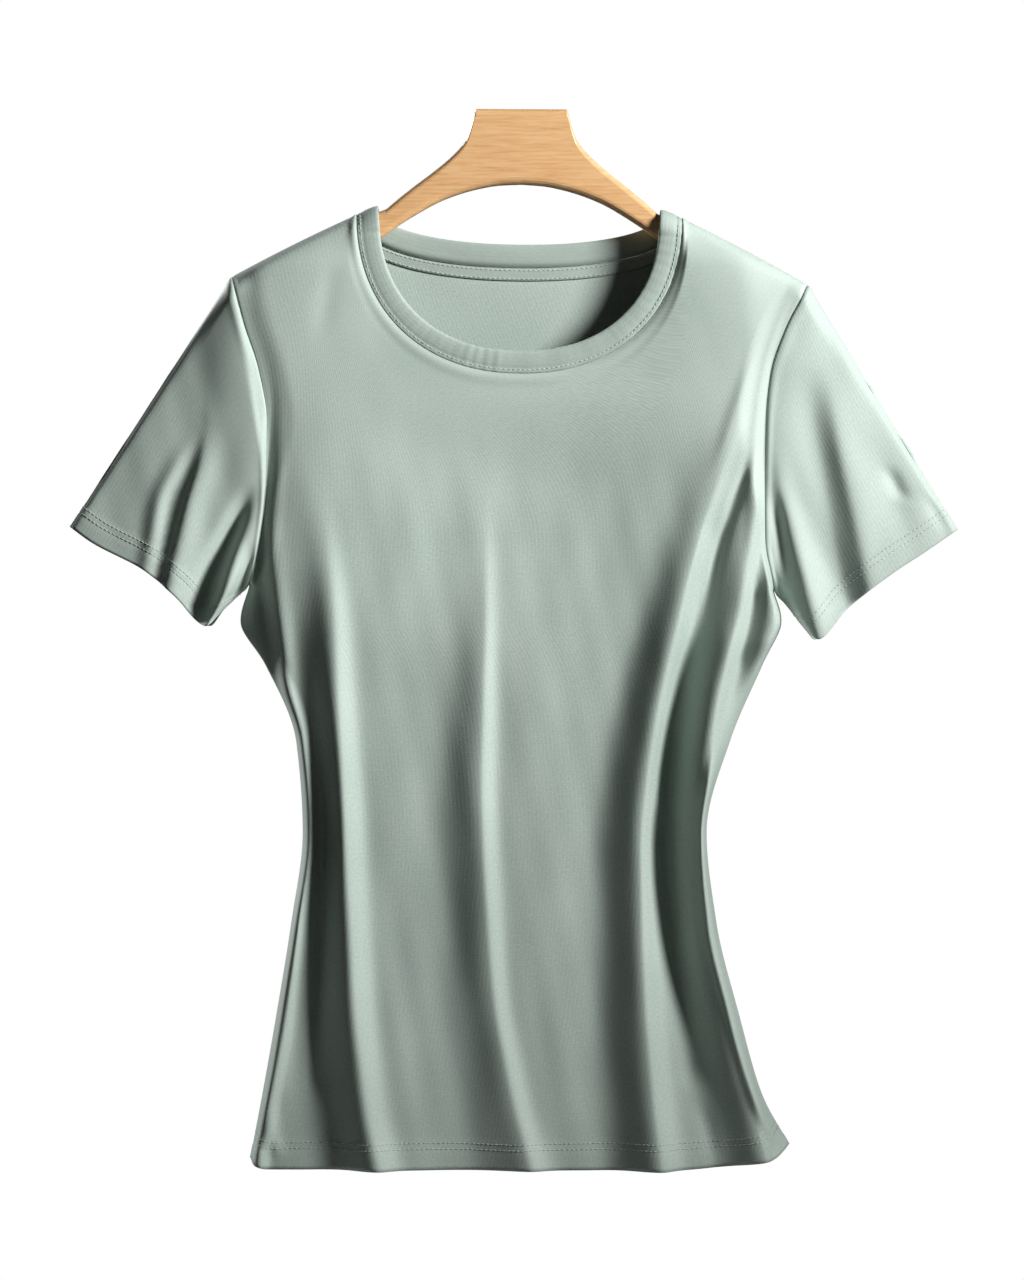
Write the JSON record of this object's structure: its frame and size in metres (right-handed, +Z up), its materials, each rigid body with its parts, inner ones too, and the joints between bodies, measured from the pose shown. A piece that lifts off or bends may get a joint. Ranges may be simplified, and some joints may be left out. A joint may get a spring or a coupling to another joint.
{
  "type": "t-shirt",
  "caption": "Short-sleeved round-neck jersey t-shirt hanging in soft vertical folds on a plain wooden hanger, open at the neck, cuffs and hem.",
  "frame": {"origin": "middle of the flat top of the hanger's neck, where the hanger is held", "axes": "+Z up, +X to the right as seen from the front, -Y out of the shirt's front"},
  "size_m": [0.5896, 0.0682, 0.7023],
  "materials": {
    "jersey": "smooth sage green single jersey with a soft low sheen",
    "jersey_double": "the same sage green jersey, folded double",
    "tape": "sage green woven cotton tape",
    "wood": "pale wood, lightly varnished"
  },
  "bodies": {
    "root": {"front": "jersey", "back": "jersey", "sleeve_left": "jersey", "sleeve_right": "jersey", "neckband": "jersey_double", "neck_tape": "tape", "hanger": "wood"}
  },
  "joints": []
}
